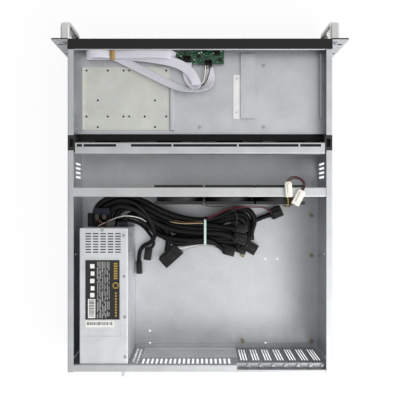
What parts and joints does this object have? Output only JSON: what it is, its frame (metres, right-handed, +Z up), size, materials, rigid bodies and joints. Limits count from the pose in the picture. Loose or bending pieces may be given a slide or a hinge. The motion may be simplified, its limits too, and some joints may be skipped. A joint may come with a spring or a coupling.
{
  "type": "rackmount server case",
  "caption": "Two-unit rack server case, lid off: drive trays, fan row, power supply, rear input/output wall, internal cables.",
  "frame": {"origin": "centre of the underside of the base, halfway between the front panel's face and the rear rim", "axes": "+X right seen from the front, +Y towards the rear, +Z up"},
  "size_m": [0.4826, 0.5865, 0.0949],
  "materials": {
    "galvanised_sheet": "zinc-plated sheet steel, satin",
    "black_panel": "black powder coat, fine texture",
    "silver_handle": "anodised aluminium, satin",
    "black_plastic": "moulded black plastic",
    "white_plastic": "moulded natural plastic",
    "circuit_board": "green solder mask",
    "black_sleeve": "braided black sleeve over wires",
    "ribbon": "grey-white flat flexible cable",
    "seal_foam": "black foam strip",
    "screw_steel": "zinc-plated screws",
    "brass_post": "turned brass standoffs",
    "tie_plastic": "moulded tie"
  },
  "bodies": {
    "case": {"chassis": "galvanised_sheet", "rear_panel": "galvanised_sheet", "io_shield": "galvanised_sheet", "slot_covers": "galvanised_sheet", "bay_dividers": "galvanised_sheet", "shelf": "galvanised_sheet", "drive_plate": "galvanised_sheet", "drive_plate_rail": "galvanised_sheet", "optical_bracket": "galvanised_sheet", "optical_rail": "galvanised_sheet", "lid_rail": "galvanised_sheet", "fan_bar": "galvanised_sheet", "psu_cover": "galvanised_sheet", "psu_base": "galvanised_sheet", "front_panel": "black_panel", "handle_right": "silver_handle", "handle_left": "silver_handle", "air_seal": "seal_foam", "backplane": "circuit_board", "control_board": "circuit_board", "drive_slot_blank": "black_plastic", "lid_rail_ends": "black_plastic", "fan_frame_1": "black_plastic", "fan_frame_2": "black_plastic", "fan_frame_3": "black_plastic", "psu_fan_frame": "black_plastic", "psu_inlet": "black_plastic", "power_plugs": "black_plastic", "board_power_cable": "black_sleeve", "cpu_power_cable": "black_sleeve", "drive_power_cable": "black_sleeve", "sata_power_cable": "black_sleeve", "ribbon_cable_1": "ribbon", "ribbon_cable_2": "ribbon", "fan_plugs": "white_plastic", "cable_tie": "tie_plastic", "board_standoffs": "brass_post", "screws": "screw_steel"},
    "tray_body_1": {"tray_1": "black_plastic"},
    "lever_body_1": {"tray_lever_1": "black_plastic"},
    "tray_body_2": {"tray_2": "black_plastic"},
    "lever_body_2": {"tray_lever_2": "black_plastic"},
    "tray_body_3": {"tray_3": "black_plastic"},
    "lever_body_3": {"tray_lever_3": "black_plastic"},
    "tray_body_4": {"tray_4": "black_plastic"},
    "lever_body_4": {"tray_lever_4": "black_plastic"},
    "tray_body_5": {"tray_5": "black_plastic"},
    "lever_body_5": {"tray_lever_5": "black_plastic"},
    "tray_body_6": {"tray_6": "black_plastic"},
    "lever_body_6": {"tray_lever_6": "black_plastic"},
    "tray_body_7": {"tray_7": "black_plastic"},
    "lever_body_7": {"tray_lever_7": "black_plastic"},
    "tray_body_8": {"tray_8": "black_plastic"},
    "lever_body_8": {"tray_lever_8": "black_plastic"},
    "fan_rotor_body_1": {"fan_rotor_1": "black_plastic"},
    "fan_rotor_body_2": {"fan_rotor_2": "black_plastic"},
    "fan_rotor_body_3": {"fan_rotor_3": "black_plastic"},
    "psu_fan_rotor_body": {"psu_fan_rotor": "black_plastic"},
    "power_button_body": {"power_button": "black_plastic"},
    "reset_button_body": {"reset_button": "black_plastic"}
  },
  "joints": [
    {"name": "tray_1_slide", "type": "slide", "parent": "case", "child": "tray_body_1", "axis": [0, -1, 0], "range_m": [0, 0.15]},
    {"name": "tray_lever_1_hinge", "type": "hinge", "parent": "tray_body_1", "child": "lever_body_1", "pos_m": [-0.2046, -0.269, 0.0184], "axis": [0, 0, -1], "range_deg": [0, 70]},
    {"name": "tray_2_slide", "type": "slide", "parent": "case", "child": "tray_body_2", "axis": [0, -1, 0], "range_m": [0, 0.15]},
    {"name": "tray_lever_2_hinge", "type": "hinge", "parent": "tray_body_2", "child": "lever_body_2", "pos_m": [-0.09795, -0.269, 0.0184], "axis": [0, 0, -1], "range_deg": [0, 70]},
    {"name": "tray_3_slide", "type": "slide", "parent": "case", "child": "tray_body_3", "axis": [0, -1, 0], "range_m": [0, 0.15]},
    {"name": "tray_lever_3_hinge", "type": "hinge", "parent": "tray_body_3", "child": "lever_body_3", "pos_m": [0.0087, -0.269, 0.0184], "axis": [0, 0, -1], "range_deg": [0, 70]},
    {"name": "tray_4_slide", "type": "slide", "parent": "case", "child": "tray_body_4", "axis": [0, -1, 0], "range_m": [0, 0.15]},
    {"name": "tray_lever_4_hinge", "type": "hinge", "parent": "tray_body_4", "child": "lever_body_4", "pos_m": [0.11535, -0.269, 0.0184], "axis": [0, 0, -1], "range_deg": [0, 70]},
    {"name": "tray_5_slide", "type": "slide", "parent": "case", "child": "tray_body_5", "axis": [0, -1, 0], "range_m": [0, 0.15]},
    {"name": "tray_lever_5_hinge", "type": "hinge", "parent": "tray_body_5", "child": "lever_body_5", "pos_m": [-0.2046, -0.269, 0.0479], "axis": [0, 0, -1], "range_deg": [0, 70]},
    {"name": "tray_6_slide", "type": "slide", "parent": "case", "child": "tray_body_6", "axis": [0, -1, 0], "range_m": [0, 0.15]},
    {"name": "tray_lever_6_hinge", "type": "hinge", "parent": "tray_body_6", "child": "lever_body_6", "pos_m": [-0.09795, -0.269, 0.0479], "axis": [0, 0, -1], "range_deg": [0, 70]},
    {"name": "tray_7_slide", "type": "slide", "parent": "case", "child": "tray_body_7", "axis": [0, -1, 0], "range_m": [0, 0.15]},
    {"name": "tray_lever_7_hinge", "type": "hinge", "parent": "tray_body_7", "child": "lever_body_7", "pos_m": [0.0087, -0.269, 0.0479], "axis": [0, 0, -1], "range_deg": [0, 70]},
    {"name": "tray_8_slide", "type": "slide", "parent": "case", "child": "tray_body_8", "axis": [0, -1, 0], "range_m": [0, 0.15]},
    {"name": "tray_lever_8_hinge", "type": "hinge", "parent": "tray_body_8", "child": "lever_body_8", "pos_m": [0.11535, -0.269, 0.0479], "axis": [0, 0, -1], "range_deg": [0, 70]},
    {"name": "fan_1_spin", "type": "hinge", "parent": "case", "child": "fan_rotor_body_1", "pos_m": [0.035, -0.017, 0.0412], "axis": [0, 1, 0], "continuous": true},
    {"name": "fan_2_spin", "type": "hinge", "parent": "case", "child": "fan_rotor_body_2", "pos_m": [-0.0485, -0.017, 0.0412], "axis": [0, 1, 0], "continuous": true},
    {"name": "fan_3_spin", "type": "hinge", "parent": "case", "child": "fan_rotor_body_3", "pos_m": [-0.132, -0.017, 0.0412], "axis": [0, 1, 0], "continuous": true},
    {"name": "psu_fan_spin", "type": "hinge", "parent": "case", "child": "psu_fan_rotor_body", "pos_m": [0.1572, 0.2481, 0.0587], "axis": [0, 1, 0], "continuous": true},
    {"name": "power_button_press", "type": "slide", "parent": "case", "child": "power_button_body", "axis": [0, 1, 0], "range_m": [0, 0.0012], "stiffness_N_per_m": 400},
    {"name": "reset_button_press", "type": "slide", "parent": "case", "child": "reset_button_body", "axis": [0, 1, 0], "range_m": [0, 0.0012], "stiffness_N_per_m": 400}
  ]
}
